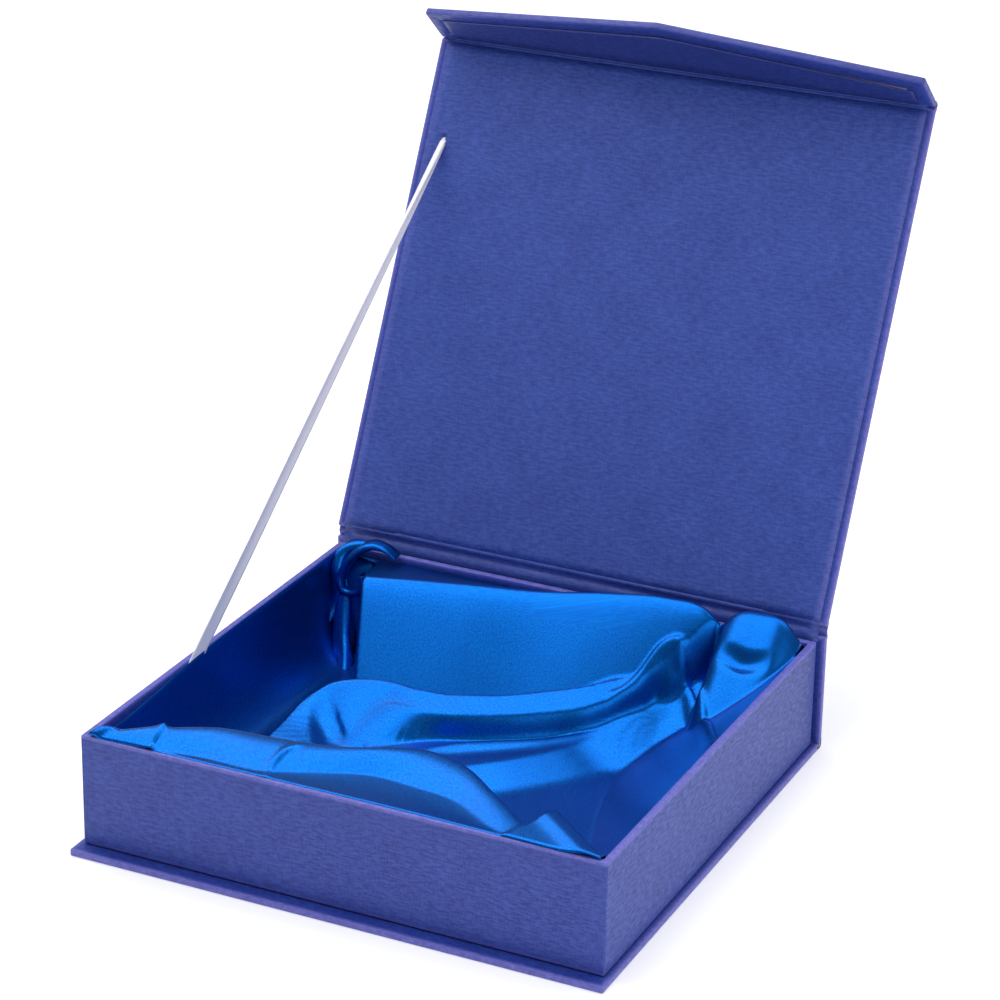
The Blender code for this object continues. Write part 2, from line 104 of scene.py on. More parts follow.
def in_tray(x, y, z):
    return Vector((x, y, z))


# -------- camera, light and floor

CAMERA_TARGET = Vector((0.01584, 0, 0.13274))
CAMERA_DISTANCE = 1.3144
CAMERA_AZIMUTH = math.radians(25.19)
CAMERA_ELEVATION = math.radians(22.78)
CAMERA_ROLL = math.radians(1.06)
CAMERA_LENS = 123.57
LIGHT_TARGET = Vector((0, 0, 0.08))


def direction_from(azimuth, elevation):
    """Unit vector towards a viewer or a light; azimuth 0 is straight in front of the box."""
    level = math.cos(elevation)
    return Vector((math.sin(azimuth) * level, -math.cos(azimuth) * level, math.sin(elevation)))


def add_camera():
    data = bpy.data.cameras.new("camera")
    data.lens = CAMERA_LENS
    data.sensor_width = 36
    camera = bpy.data.objects.new("camera", data)
    bpy.context.scene.collection.objects.link(camera)
    back = direction_from(CAMERA_AZIMUTH, CAMERA_ELEVATION)
    turn = (-back).to_track_quat("-Z", "Y").to_matrix().to_4x4() @ Matrix.Rotation(CAMERA_ROLL, 4, "Z")
    camera.matrix_world = Matrix.Translation(CAMERA_TARGET + back * CAMERA_DISTANCE) @ turn
    bpy.context.scene.camera = camera


def add_softbox(name, azimuth, elevation, distance, size, power):
    """Area light aimed at the box from a direction in degrees; size is its width and height."""
    data = bpy.data.lights.new(name, "AREA")
    data.shape = "RECTANGLE"
    data.size, data.size_y = size
    data.energy = power
    light = bpy.data.objects.new(name, data)
    bpy.context.scene.collection.objects.link(light)
    back = direction_from(math.radians(azimuth), math.radians(elevation))
    turn = (-back).to_track_quat("-Z", "Y").to_matrix().to_4x4()
    light.matrix_world = Matrix.Translation(LIGHT_TARGET + back * distance) @ turn


# -------- materials

def new_material(name):
    mat = bpy.data.materials.new(name)
    mat.use_nodes = True
    return mat, mat.node_tree, mat.node_tree.nodes["Principled BSDF"]


def node(tree, kind, inputs=None, **settings):
    """One shader node with its settings and inputs; an input is a value or another node's socket."""
    made = tree.nodes.new("ShaderNode" + kind)
    for key, value in settings.items():
        setattr(made, key, value)
    for key, value in (inputs or {}).items():
        if isinstance(value, bpy.types.NodeSocket):
            tree.links.new(value, made.inputs[key])
        else:
            made.inputs[key].default_value = value
    return made


def link(tree, socket, shader, name):
    tree.links.new(socket, shader.inputs[name])


def emboss(tree, shader, height, strength, distance):
    bump = node(tree, "Bump", {"Height": height, "Strength": strength, "Distance": distance})
    link(tree, bump.outputs[0], shader, "Normal")


def math_node(tree, operation, a, b=0.0):
    return node(tree, "Math", {0: a, 1: b}, operation=operation).outputs[0]


def mix_colour(tree, share, a, b):
    made = node(tree, "Mix", data_type="RGBA")
    for key, value in (("Factor", share), ("A", a), ("B", b)):
        wanted = "VALUE" if key == "Factor" else "RGBA"
        socket = next(s for s in made.inputs if s.name == key and s.type == wanted)
        if isinstance(value, bpy.types.NodeSocket):
            tree.links.new(value, socket)
        else:
            socket.default_value = value if key == "Factor" else (*value, 1)
    return next(s for s in made.outputs if s.type == "RGBA")


def uv_mm(tree, scale=(1, 1, 1)):
    """The surface's own coordinates in millimetres, stretched by scale."""
    uv = node(tree, "UVMap", uv_map="sheet")
    factor = tuple(s / MM for s in scale)
    return node(tree, "VectorMath", {0: uv.outputs[0], 1: factor}, operation="MULTIPLY").outputs[0]


def noise(tree, vector, scale, detail=2.0, roughness=0.5):
    return node(tree, "TexNoise", {"Vector": vector, "Scale": scale, "Detail": detail,
                                   "Roughness": roughness}).outputs["Fac"]


# Pale lavender of the paper's edges: partly rubbed wear, partly a painted highlight where the rounded edges
# catch the light.
RUBBED_AND_LIT_EDGE = (0.22, 0.20, 0.66)


def linen_paper(name, dark, light, roughness, wear_and_sheen):
    """Printed paper with a fine linen emboss, slight mottling and paler edges, partly rubbed wear and partly
    a painted highlight on the rounded edges.
    """
    mat, tree, shader = new_material(name)
    across = noise(tree, uv_mm(tree, (0.26, 0.95, 1)), 1.0, 2.0, 0.55)
    down = noise(tree, uv_mm(tree, (1.35, 0.30, 1)), 1.0, 2.0, 0.55)
    threads = math_node(tree, "ADD", math_node(tree, "MULTIPLY", across, 0.68),
                        math_node(tree, "MULTIPLY", down, 0.32))
    grain = noise(tree, uv_mm(tree), 2.2, 2.0)
    mottle = noise(tree, uv_mm(tree), 0.05, 3.0, 0.6)
    lift = node(tree, "MapRange", {0: threads, 1: 0.40, 2: 0.62}).outputs[0]
    cloud = node(tree, "MapRange", {0: mottle, 1: 0.3, 2: 0.7, 3: -0.16, 4: 0.16}).outputs[0]
    share = math_node(tree, "ADD", math_node(tree, "MULTIPLY", lift, 0.7), cloud)
    share = node(tree, "Math", {0: share, 1: 0.12}, operation="ADD", use_clamp=True).outputs[0]
    base = mix_colour(tree, share, dark, light)
    # Paler along the marked edges, broken up by noise: wear and a painted highlight.
    edge = node(tree, "Attribute", attribute_name="edge").outputs["Fac"]
    scuffs_and_sheen = noise(tree, uv_mm(tree), 0.35, 4.0, 0.7)
    rub_and_sheen = node(tree, "MapRange", {0: scuffs_and_sheen, 1: 0.35, 2: 0.7, 3: 0.4, 4: 1.0})
    worn_and_lit = math_node(tree, "MULTIPLY", math_node(tree, "MULTIPLY", edge, rub_and_sheen.outputs[0]), wear_and_sheen)
    link(tree, mix_colour(tree, worn_and_lit, base, RUBBED_AND_LIT_EDGE), shader, "Base Color")
    rough = node(tree, "MapRange", {0: threads, 1: 0.4, 2: 0.62, 3: roughness + 0.08, 4: roughness - 0.08})
    link(tree, rough.outputs[0], shader, "Roughness")
    height = math_node(tree, "ADD", math_node(tree, "MULTIPLY", threads, 0.85),
                       math_node(tree, "MULTIPLY", grain, 0.15))
    emboss(tree, shader, height, 0.55, 0.2 * MM)
    return mat


def satin_cloth(name):
    """Azure polyester satin: bright where it turns to the light, deep navy where it turns away."""
    mat, tree, shader = new_material(name)
    speckle = noise(tree, uv_mm(tree, (1.7, 1.1, 1)), 1.0, 2.0, 0.7)
    warp = noise(tree, uv_mm(tree, (3.2, 0.10, 1)), 1.0, 2.0, 0.6)
    cloud = noise(tree, uv_mm(tree), 0.05, 2.0)
    glint = node(tree, "MapRange", {0: speckle, 1: 0.36, 2: 0.66}).outputs[0]
    share = math_node(tree, "ADD", math_node(tree, "MULTIPLY", glint, 0.6),
                      math_node(tree, "MULTIPLY", warp, 0.3))
    share = math_node(tree, "ADD", share, math_node(tree, "MULTIPLY", cloud, 0.15))
    link(tree, mix_colour(tree, share, (0.0, 0.031, 0.27), (0.0, 0.165, 0.59)), shader, "Base Color")
    rough = node(tree, "MapRange", {0: warp, 1: 0.3, 2: 0.7, 3: 0.26, 4: 0.36})
    link(tree, rough.outputs[0], shader, "Roughness")
    height = math_node(tree, "ADD", math_node(tree, "MULTIPLY", speckle, 0.6),
                       math_node(tree, "MULTIPLY", warp, 0.4))
    emboss(tree, shader, height, 0.3, 0.1 * MM)
    shader.inputs["Metallic"].default_value = 0.92
    return mat


def ribbon_satin(name):
    """White satin ribbon with fine ribs across and fine threads along it."""
    mat, tree, shader = new_material(name)
    ribs = noise(tree, uv_mm(tree, (0.3, 3.0, 1)), 1.0, 2.0)
    long_threads = noise(tree, uv_mm(tree, (4.0, 0.2, 1)), 1.0, 2.0)
    share = math_node(tree, "ADD", math_node(tree, "MULTIPLY", ribs, 0.5),
                      math_node(tree, "MULTIPLY", long_threads, 0.5))
    link(tree, mix_colour(tree, share, (0.76, 0.76, 0.90), (0.95, 0.95, 1.0)), shader, "Base Color")
    emboss(tree, shader, share, 0.3, 0.08 * MM)
    rough = node(tree, "MapRange", {0: long_threads, 1: 0.3, 2: 0.7, 3: 0.32, 4: 0.44})
    link(tree, rough.outputs[0], shader, "Roughness")
    shader.inputs["Sheen Weight"].default_value = 0.3
    return mat


def object_mm(tree):
    place = node(tree, "TexCoord").outputs["Object"]
    return node(tree, "VectorMath", {0: place, 1: (1 / MM,) * 3}, operation="MULTIPLY").outputs[0]


def fibre_board(name, dark, light, scale=0.8):
    """Grey recycled board or gummed paper: flecks and soft fibres."""
    mat, tree, shader = new_material(name)
    fibres = noise(tree, object_mm(tree), scale, 6.0, 0.7)
    spots = noise(tree, object_mm(tree), scale * 3, 2.0)
    flecks = math_node(tree, "MULTIPLY", node(tree, "MapRange", {0: spots, 1: 0.62, 2: 0.7}).outputs[0], 0.6)
    base = mix_colour(tree, fibres, dark, light)
    link(tree, mix_colour(tree, flecks, base, (0.12, 0.10, 0.09)), shader, "Base Color")
    emboss(tree, shader, fibres, 0.5, 0.2 * MM)
    shader.inputs["Roughness"].default_value = 0.9
    return mat


def bare_metal(name, colour, roughness):
    """Stamped or plated steel with fine scratches."""
    mat, tree, shader = new_material(name)
    scratches = noise(tree, object_mm(tree), 1.6, 6.0, 0.8)
    link(tree, mix_colour(tree, scratches, tuple(c * 0.75 for c in colour), colour), shader, "Base Color")
    rough = node(tree, "MapRange", {0: scratches, 1: 0.3, 2: 0.7, 3: roughness - 0.08, 4: roughness + 0.12})
    link(tree, rough.outputs[0], shader, "Roughness")
    emboss(tree, shader, scratches, 0.15, 0.05 * MM)
    shader.inputs["Metallic"].default_value = 1.0
    return mat


def soft_adhesive(name):
    """Foam adhesive pad with small pores."""
    mat, tree, shader = new_material(name)
    pores = node(tree, "TexVoronoi", {"Vector": object_mm(tree), "Scale": 0.9}).outputs["Distance"]
    link(tree, mix_colour(tree, pores, (0.55, 0.54, 0.50), (0.82, 0.81, 0.77)), shader, "Base Color")
    emboss(tree, shader, pores, 0.4, 0.3 * MM)
    shader.inputs["Roughness"].default_value = 0.75
    return mat


WRAP = linen_paper("wrap_paper", (0.0096, 0.0275, 0.236), (0.029, 0.066, 0.375), 0.50, 0.7)
LINER = linen_paper("liner_paper", (0.0135, 0.037, 0.248), (0.040, 0.087, 0.405), 0.52, 0.35)
SATIN = satin_cloth("satin")
# Darker copies of the wrap and liner papers for the flap: painted shade, since the flap faces down into
# shadow.
SHADED_FLAP_WRAP = linen_paper("flap_wrap_paper_painted_shade", (0.009, 0.024, 0.20), (0.026, 0.058, 0.33), 0.50, 0.2)
SHADED_FLAP_LINER = linen_paper("flap_liner_paper_painted_shade", (0.006, 0.017, 0.14), (0.018, 0.040, 0.24), 0.52, 0.15)
RIBBON = ribbon_satin("ribbon")
BOARD = fibre_board("greyboard", (0.30, 0.27, 0.23), (0.52, 0.48, 0.42))
STAY = fibre_board("stay_paper", (0.42, 0.30, 0.18), (0.60, 0.46, 0.30), 1.4)
GLUE = soft_adhesive("glue_pad")
STEEL = bare_metal("steel", (0.62, 0.62, 0.64), 0.38)
MAGNET = bare_metal("magnet", (0.72, 0.72, 0.74), 0.2)


# -------- sheets of paper

def box_uv(bm, flat):
    """Unfolds every face onto the nearest plane of the panel's own axes; flat holds each vertex's place."""
    layer = bm.loops.layers.uv.new("sheet")
    for face in bm.faces:
        a, b, c = (flat[v.index] for v in face.verts[:3])
        normal = (b - a).cross(c - a)
        axis = max(range(3), key=lambda i: abs(normal[i]))
        keep = [i for i in range(3) if i != axis]
        for loop in face.loops:
            place = flat[loop.vert.index]
            loop[layer].uv = (place[keep[0]], place[keep[1]])


def sheet_piece(name, points, faces, place, mat, edges=None, thickness=PAPER):
    """A folded sheet: points in the panel's own axes, put in the row frame, then given its thickness."""
    bm = bmesh.new()
    flat = [Vector(p) for p in points]
    for p in flat:
        bm.verts.new(place(*p))
    bm.verts.index_update()
    bm.verts.ensure_lookup_table()
    for face in faces:
        bm.faces.new([bm.verts[i] for i in face])
    bmesh.ops.recalc_face_normals(bm, faces=bm.faces[:])
    box_uv(bm, flat)
    mesh = bpy.data.meshes.new(name)
    bm.to_mesh(mesh)
    bm.free()
    # The edge attribute sets how much paler the paper is drawn there: wear and a painted highlight.
    worn_and_lit = mesh.attributes.new("edge", "FLOAT", "POINT")
    worn_and_lit.data.foreach_set("value", edges if edges else [0.0] * len(points))
    mesh.materials.append(mat)
    mesh.shade_smooth()
    obj = bpy.data.objects.new(name, mesh)
    bpy.context.scene.collection.objects.link(obj)
    if thickness:
        solid = obj.modifiers.new("thickness", "SOLIDIFY")
        solid.thickness = thickness
        solid.offset = -1
        apply_modifiers(obj)
    return obj


def apply_modifiers(obj):
    graph = bpy.context.evaluated_depsgraph_get()
    graph.update()
    made = bpy.data.meshes.new_from_object(obj.evaluated_get(graph), preserve_all_data_layers=True,
                                           depsgraph=graph)
    obj.modifiers.clear()
    obj.data = made


def grid_faces(rows, columns, ring=False):
    """Quads between rows of points that are numbered one row after another."""
    faces = []
    for r in range(rows - 1):
        for c in range(columns if ring else columns - 1):
            d = (c + 1) % columns
            faces.append((r * columns + c, r * columns + d, (r + 1) * columns + d, (r + 1) * columns + c))
    return faces


def rounded_outline(corners, radii, inset, steps=5):
    """Counter-clockwise convex outline moved inwards, its corners rounded; the point count never changes."""
    points = []
    for i, corner in enumerate(corners):
        before = (Vector(corner) - Vector(corners[i - 1])).normalized()
        after = (Vector(corners[(i + 1) % len(corners)]) - Vector(corner)).normalized()
        side, next_side = Vector((-before.y, before.x)), Vector((-after.y, after.x))
        turn = math.acos(max(-1.0, min(1.0, before.dot(after))))
        radius = max(radii[i] - inset, 0.05 * MM)
        tip = Vector(corner) + (side + next_side) * inset / (1 + side.dot(next_side))
        centre = tip - before * radius * math.tan(turn / 2) + side * radius
        start = math.atan2(-side.y, -side.x)
        for step in range(steps + 1):
            angle = start + turn * step / steps
            points.append(centre + Vector((math.cos(angle), math.sin(angle))) * radius)
    return points


def refined(path, longest):
    """The same path with more points, none further apart than longest."""
    points = [path[0]]
    for a, b in zip(path, path[1:]):
        count = max(1, math.ceil(math.dist(a, b) / longest))
        points += [tuple(p + (q - p) * i / count for p, q in zip(a, b)) for i in range(1, count + 1)]
    return points


def capped_ring(name, corners, radii, profile, place, mat, cap=True):
    """Sheet folded round an outline; profile is (inset, depth, wear and painted edge highlight) from hidden
    edge to outer face.
    """
    rows = [rounded_outline(corners, radii, inset) for inset, _, _ in profile]
    count = len(rows[0])
    points = [(p.x, p.y, depth) for row, (_, depth, _) in zip(rows, profile) for p in row]
    edges = [worn_and_lit for _, _, worn_and_lit in profile for _ in range(count)]
    faces = grid_faces(len(rows), count, ring=True)
    if cap:
        faces.append(tuple(range((len(rows) - 1) * count, len(rows) * count)))
    return sheet_piece(name, points, faces, place, mat, edges)


def edge_profile(lip, depth, radius):
    """(inset, depth, wear and painted highlight) over a board's edge, from the turned-in lip round to the
    outer face.
    """
    quarter = np.linspace(0, math.pi / 2, 5)
    rows = [(lip, depth, 0), (4 * radius, depth, 0)]
    rows += [(radius - radius * math.sin(a), depth - radius + radius * math.cos(a), 1) for a in quarter]
    rows += [(radius - radius * math.cos(a), radius - radius * math.sin(a), 1) for a in quarter]
    return rows + [(4 * radius, 0, 0)]


def rectangle(low, high):
    return [(low[0], low[1]), (high[0], low[1]), (high[0], high[1]), (low[0], high[1])]


def keep(obj, body, slot, *nodes):
    """The piece moves with a body and stands for CAD nodes, which it hides; slot is not used."""
    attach(obj, body)
    if nodes:
        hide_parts(*nodes)
    return obj


# -------- base, spine and tray

EDGE_RADIUS = 0.5 * MM
TURN_IN = 24 * MM
CORNER = 0.5 * MM


def make_board_cover(name, body, nodes, corners, radii, depth, place, lip=TURN_IN, mat=WRAP):
    """Paper wrapped round one board: its outer face, its four edges and a turned-in lip behind."""
    obj = capped_ring(name, corners, radii, edge_profile(lip, depth, EDGE_RADIUS), place, mat)
    keep(obj, body, "wrap_paper", *nodes)


def make_base():
    low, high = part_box("base_wrap")
    make_board_cover("base_cover", "tray", ["base_wrap"], rectangle(low.xy, high.xy), [0.9 * MM] * 4,
                     high.z - low.z, lambda a, b, c: Vector((a, b, low.z + c)))


def make_spine():
    low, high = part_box("spine_wrap")
    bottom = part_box("base_crease_paper")[0]
    outline = rectangle((low.x, bottom.z + 1.4 * MM), (high.x, high.z))
    make_board_cover("spine_cover", "tray", ["spine_wrap"], outline, [CORNER] * 4, high.y - low.y,
                     lambda a, b, c: Vector((a, high.y - c, b)), lip=9.8 * MM)
    bend = 1.6 * MM
    path = [(bottom.y - 0.6 * MM, bottom.z + 0.2 * MM), (bottom.y, bottom.z + 0.05 * MM)]
    path += [(high.y - bend + bend * math.sin(a), bottom.z + bend - bend * math.cos(a))
             for a in np.linspace(0, math.pi / 2, 7)]
    path += [(high.y, 2.6 * MM), (high.y - 0.05 * MM, 4.0 * MM)]
    obj = strip_piece("base_crease_cover", path, high.x, WRAP, wear_and_sheen=0.5)
    thicken_towards(obj, Vector((0, -1, 1)), PAPER)
    keep(obj, "tray", "wrap_paper", "base_crease_paper")
    low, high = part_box("spine_liner")
    xs = np.linspace(low.x, high.x, 21)
    rise = refined([(low.y, low.z), (low.y, high.z - 0.6 * MM)], 6 * MM)
    rise += [(low.y + 0.15 * MM, high.z - 0.2 * MM), (low.y + 0.6 * MM, high.z), (high.y, high.z)]
    points = [(x, y, z) for y, z in rise for x in xs]
    obj = sheet_piece("spine_liner_sheet", points, grid_faces(len(rise), len(xs)), in_tray, LINER)
    keep(obj, "tray", "liner_paper", "spine_liner")


def make_tray():
    """One sheet round all four walls: under the floor, up the outside, over the rim and down inside."""
    low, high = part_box("tray_wrap")
    wall = 2.85 * MM
    r = 0.6 * MM
    under, inner = 14 * MM, 16 * MM
    turn = [(r - r * math.cos(a), r - r * math.sin(a)) for a in np.linspace(0, math.pi / 2, 5)]
    # Third column: how much paler the rim and bottom turns are drawn, wear and a painted highlight.
    profile = [(under, low.z, 0), (4 * r, low.z, 0)]
    profile += [(along, low.z + drop, 0.5) for along, drop in turn[::-1]]
    profile += [(0, z, 0) for z in np.linspace(low.z + 3 * r, high.z - 3 * r, 9)]
    profile += [(along, high.z - drop, 1) for along, drop in turn]
    profile += [(wall - along, high.z - drop, 0.8) for along, drop in turn[::-1]]
    profile += [(wall, high.z - 3 * r, 0), (wall, high.z - inner, 0)]
    corners = rectangle(low.xy, high.xy)
    obj = capped_ring("tray_cover", corners, [0.8 * MM] * 4, profile, in_tray, WRAP, cap=False)
    keep(obj, "tray", "wrap_paper", "tray_wrap")


# -------- lid and flap

MITRE = math.tan(FLAP_FOLD / 2)
MITRE_REACH = 5 * MM


def lid_mitred(end):
    """Place on the lid whose far edge is cut back towards the inner face."""
    def place(across, along, depth):
        share = max(0.0, min(1.0, (along - end + MITRE_REACH) / MITRE_REACH))
        return on_lid(across, along - depth * MITRE * share, depth)
    return place


def flap_mitred(root):
    def place(across, along, depth):
        share = max(0.0, min(1.0, (root + MITRE_REACH - along) / MITRE_REACH))
        return on_flap(across, along + depth * MITRE * share, depth)
    return place


def make_lid():
    depth = -span("lid_wrap", LID_AXIS, LID_OUT)[0]
    start = span("lid_wrap", LID_AXIS, LID_RUN)[0]
    end = LID_LENGTH - 0.6 * MM
    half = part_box("lid_wrap")[1].x
    make_board_cover("lid_cover", "lid", ["lid_wrap"], rectangle((-half, start), (half, end)), [CORNER] * 4,
                     depth, lid_mitred(end))
    make_lid_liner()


STEP_DEPTH = 0.19 * MM


def make_lid_liner():
    """Liner of the lid: a slit for the ribbon, and the turn-in's edge showing through as a soft step."""
    start, end = span("lid_liner", LID_AXIS, LID_RUN)
    face = -span("lid_liner", LID_AXIS, LID_OUT)[0]
    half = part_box("lid_liner")[1].x
    slot = ribbon_slot()
    lip, step = 25 * MM, 1.6 * MM
    slit_half_width, slit_half_length = 1.0 * MM, 2.4 * MM
    across = sorted({*np.linspace(-half, half, 61), slot[0] - slit_half_width, slot[0] + slit_half_width,
                     *(s * (half - lip + k * step) for s in (-1, 1) for k in (0, 0.25, 0.5, 0.75, 1))})
    along = sorted({*np.linspace(start + 1.2 * MM, end - 0.2 * MM, 61), slot[1] - slit_half_length,
                    slot[1] + slit_half_length})
    points, wear_and_sheen = [], []
    for y in along:
        for x in across:
            inside = max(0.0, min(1.0, (half - lip + step - abs(x)) / step))
            pucker = math.exp(-((x - slot[0]) / (2.2 * MM)) ** 2 - ((y - slot[1]) / (6 * MM)) ** 2)
            sunk = STEP_DEPTH * inside * inside * (3 - 2 * inside)
            points.append((x, y, face - sunk + 0.25 * MM * pucker))
            # Paler at the liner's side edges and round the slit's pucker: wear and a painted highlight.
            wear_and_sheen.append(1.0 if abs(abs(x) - half) < 0.1 * MM else 0.25 * pucker)
    faces = []
    for face_points in grid_faces(len(along), len(across)):
        x, y = (sum(points[i][k] for i in face_points) / 4 for k in (0, 1))
        if abs(x - slot[0]) > slit_half_width or abs(y - slot[1]) > slit_half_length:
            faces.append(face_points)
    obj = sheet_piece("lid_liner_sheet", points, faces, on_lid, LINER, wear_and_sheen, thickness=0)
    thicken_towards(obj, LID_OUT, PAPER)
    keep(obj, "lid", "liner_paper", "lid_liner")


def thicken_towards(obj, direction, thickness):
    """Gives an open sheet its thickness on the side that direction points to."""
    mesh = obj.data
    facing = sum(p.normal.dot(direction) * p.area for p in mesh.polygons)
    if facing > 0:
        mesh.flip_normals()
    solid = obj.modifiers.new("thickness", "SOLIDIFY")
    solid.thickness = thickness
    solid.offset = -1
    apply_modifiers(obj)


def flap_corners(root):
    """Outline of the flap, counter-clockwise seen from outside, from the crease out to its point."""
    points = {(round(v.co.x, 6), round((v.co - FLAP_AXIS).dot(FLAP_RUN), 6))
              for v in frame["nodes"]["flap_wrap"].data.vertices}
    half = max(x for x, _ in points)
    tip = max(y for _, y in points)
    end = max(y for x, y in points if abs(x) > half - 0.01 * MM)
    return [(half, root), (half, end), (0, tip), (-half, end), (-half, root)]


def make_flap():
    depth = -span("flap_wrap", FLAP_AXIS, FLAP_OUT)[0]
    root = 0.6 * MM
    corners = flap_corners(root)
    # The flap's wrap is a darker copy of the wrap paper: painted shade.
    make_board_cover("flap_cover", "flap", ["flap_wrap"], corners,
                     [CORNER, 1.1 * MM, 6 * MM, 1.1 * MM, CORNER], depth, flap_mitred(root), lip=9 * MM,
                     mat=SHADED_FLAP_WRAP)
    make_flap_liner(corners)


FLAP_LINER_ROWS = (0, 0.25, 0.5, 0.75, 0.93, 1)


def make_flap_liner(corners):
    """Liner of the flap, set back from its edge, with the folded wrap puckered at the flap's point."""
    face = -span("flap_liner", FLAP_AXIS, FLAP_OUT)[0]
    root = span("flap_liner", FLAP_AXIS, FLAP_RUN)[0]
    (half, _), (_, end), (_, tip) = corners[:3]
    columns = 91
    points, wear_and_sheen = [], []
    for t in np.linspace(-1, 1, columns):
        x = t * (half - 6.5 * MM)
        set_back = (8.0 + 2.2 * t) * MM
        edge = tip + (end - tip) * abs(x) / half - set_back
        for share in FLAP_LINER_ROWS:
            swell = 0.12 * MM * math.exp(-(x / (7 * MM)) ** 2) * share
            tucked = 0.05 * MM if share == 1 else 0
            points.append((x, root + (edge - root) * share, face + swell + tucked))
            # Paler at the liner's cut edge: wear and a painted highlight.
            wear_and_sheen.append(1.0 if share == 1 else 0.0)
    faces = grid_faces(columns, len(FLAP_LINER_ROWS))
    # Drawn in a darker copy of the liner paper: painted shade.
    obj = sheet_piece("flap_liner_sheet", points, faces, on_flap, SHADED_FLAP_LINER, wear_and_sheen, thickness=0)
    thicken_towards(obj, FLAP_OUT, PAPER)
    keep(obj, "flap", "liner_paper", "flap_liner")


# -------- papers over the two creases

def strip_piece(name, path, half, mat, wear_and_sheen=0.0, columns=40):
    """A plain strip of paper across the box; path holds its (y, z) points in the row frame."""
    points = [(x, y, z) for y, z in path for x in np.linspace(-half, half, columns)]
    faces = grid_faces(len(path), columns)
    # The whole strip is drawn paler by one amount: wear and a painted highlight.
    return sheet_piece(name, points, faces, in_tray, mat, [wear_and_sheen] * len(points), thickness=0)


def smooth_path(points, steps=6):
    """Catmull-Rom curve through points in Y and Z."""
    knots = [points[0], *points, points[-1]]
    path = []
    for p0, p1, p2, p3 in zip(knots, knots[1:], knots[2:], knots[3:]):
        for step in range(steps):
            t = step / steps
            path.append(tuple(0.5 * (2 * b + (c - a) * t + (2 * a - 5 * b + 4 * c - d) * t * t
                                     + (3 * b - a - 3 * c + d) * t ** 3)
                              for a, b, c, d in zip(p0, p1, p2, p3)))
    return path + [points[-1]]


def yz(point):
    return point.y, point.z


def make_hinge():
    """Outer and inner hinge papers, each pressed into a shallow groove between the spine and the lid."""
    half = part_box("lid_wrap")[1].x
    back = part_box("spine_wrap")[1]
    start = on_lid(0, 2.2 * MM, -0.05 * MM)
    path = smooth_path([(back.y + 0.05 * MM, back.z - 1.6 * MM), (back.y, back.z - 0.2 * MM),
                        (back.y - 0.5 * MM, back.z + 1.3 * MM), (back.y - 0.6 * MM, back.z + 2.4 * MM),
                        yz(on_lid(0, 0.9 * MM, 0)), yz(start)])
    outer = strip_piece("hinge_cover", path, half, WRAP, wear_and_sheen=0.25)
    thicken_towards(outer, Vector((0, -1, 0)), 0.4 * MM)
    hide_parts("lid_crease_paper")
    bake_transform(outer)
    low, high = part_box("spine_liner")
    face = -span("lid_liner", LID_AXIS, LID_OUT)[0]
    end = on_lid(0, 4 * MM, face - 0.26 * MM)
    path = smooth_path([(low.y - 0.05 * MM, high.z - 2.4 * MM), (low.y - 0.05 * MM, high.z - 0.6 * MM),
                        (low.y + 0.25 * MM, high.z + 0.5 * MM), (low.y + 0.75 * MM, high.z + 1.3 * MM),
                        (LID_AXIS.y - 1.2 * MM, LID_AXIS.z - 0.9 * MM), yz(on_lid(0, 0.2 * MM, 1.7 * MM)),
                        yz(on_lid(0, 0.5 * MM, 2.6 * MM)), yz(on_lid(0, 1.2 * MM, face - 0.12 * MM)),
                        yz(on_lid(0, 2.2 * MM, face - 0.22 * MM)), yz(end)])
    inner = strip_piece("hinge_liner_sheet", path, high.x + 7 * MM, LINER, wear_and_sheen=0.1)
    thicken_towards(inner, Vector((0, 1, 0)), PAPER)
    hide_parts("lid_hinge_liner")
    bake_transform(inner)


def make_flap_crease():
    """Outer and inner papers over the crease between the lid and the flap."""
    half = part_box("lid_wrap")[1].x
    outer_points = [on_lid(0, LID_LENGTH - reach * MM, -under * MM)
                    for reach, under in ((3.0, 0.02), (1.4, 0.05), (0.5, -0.05), (0.1, -0.2))]
    outer_points += [on_flap(0, reach * MM, -under * MM)
                     for reach, under in ((0.1, -0.2), (0.5, -0.05), (1.4, 0.05), (3.0, 0.02))]
    path = smooth_path([yz(p) for p in outer_points])
    outer = strip_piece("flap_crease_cover", path, half, WRAP, wear_and_sheen=0.5)
    thicken_towards(outer, -LID_OUT - FLAP_OUT, PAPER)
    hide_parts("flap_crease_paper")
    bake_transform(outer)
    face = -span("lid_liner", LID_AXIS, LID_OUT)[0]
    bridge = ((5.5, face / MM - 0.34), (3.4, face / MM - 0.3), (2.7, 2.7), (2.2, 2.5))
    inner_points = [on_lid(0, LID_LENGTH - reach * MM, under * MM) for reach, under in bridge]
    inner_points += [on_flap(0, reach * MM, under * MM) for reach, under in bridge[::-1]]
    path = smooth_path([yz(p) for p in inner_points])
    inner = strip_piece("flap_crease_liner", path, half - 3 * MM, LINER)
    thicken_towards(inner, LID_OUT + FLAP_OUT, PAPER)
    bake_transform(inner)


# -------- ribbon stay

def ribbon_slot():
    """(across, along) of the slit in the lid's liner, from the ribbon's end that passes through it."""
    low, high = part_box("ribbon_end_lid")
    run = span("ribbon_end_lid", LID_AXIS, LID_RUN)
    return low.x + 0.15 * MM, (run[0] + run[1]) / 2


RIBBON_TUCK = 14 * MM
TUCK_SHARE = 1 / 12


def clamp(value):
    return max(0.0, min(1.0, value))


def ribbon_curl(free):
    """Angle the ribbon's width is rolled through: almost flat at the rim, a narrow tube at the slit."""
    opened = 1.3 * clamp((free - 0.03) / 0.2)
    gathered = 1.2 * max(0.0, (free - 0.25) / 0.75) ** 1.3
    pinched = 2.9 * max(0.0, (free - 0.75) / 0.25) ** 2
    return 0.02 + opened + gathered + pinched


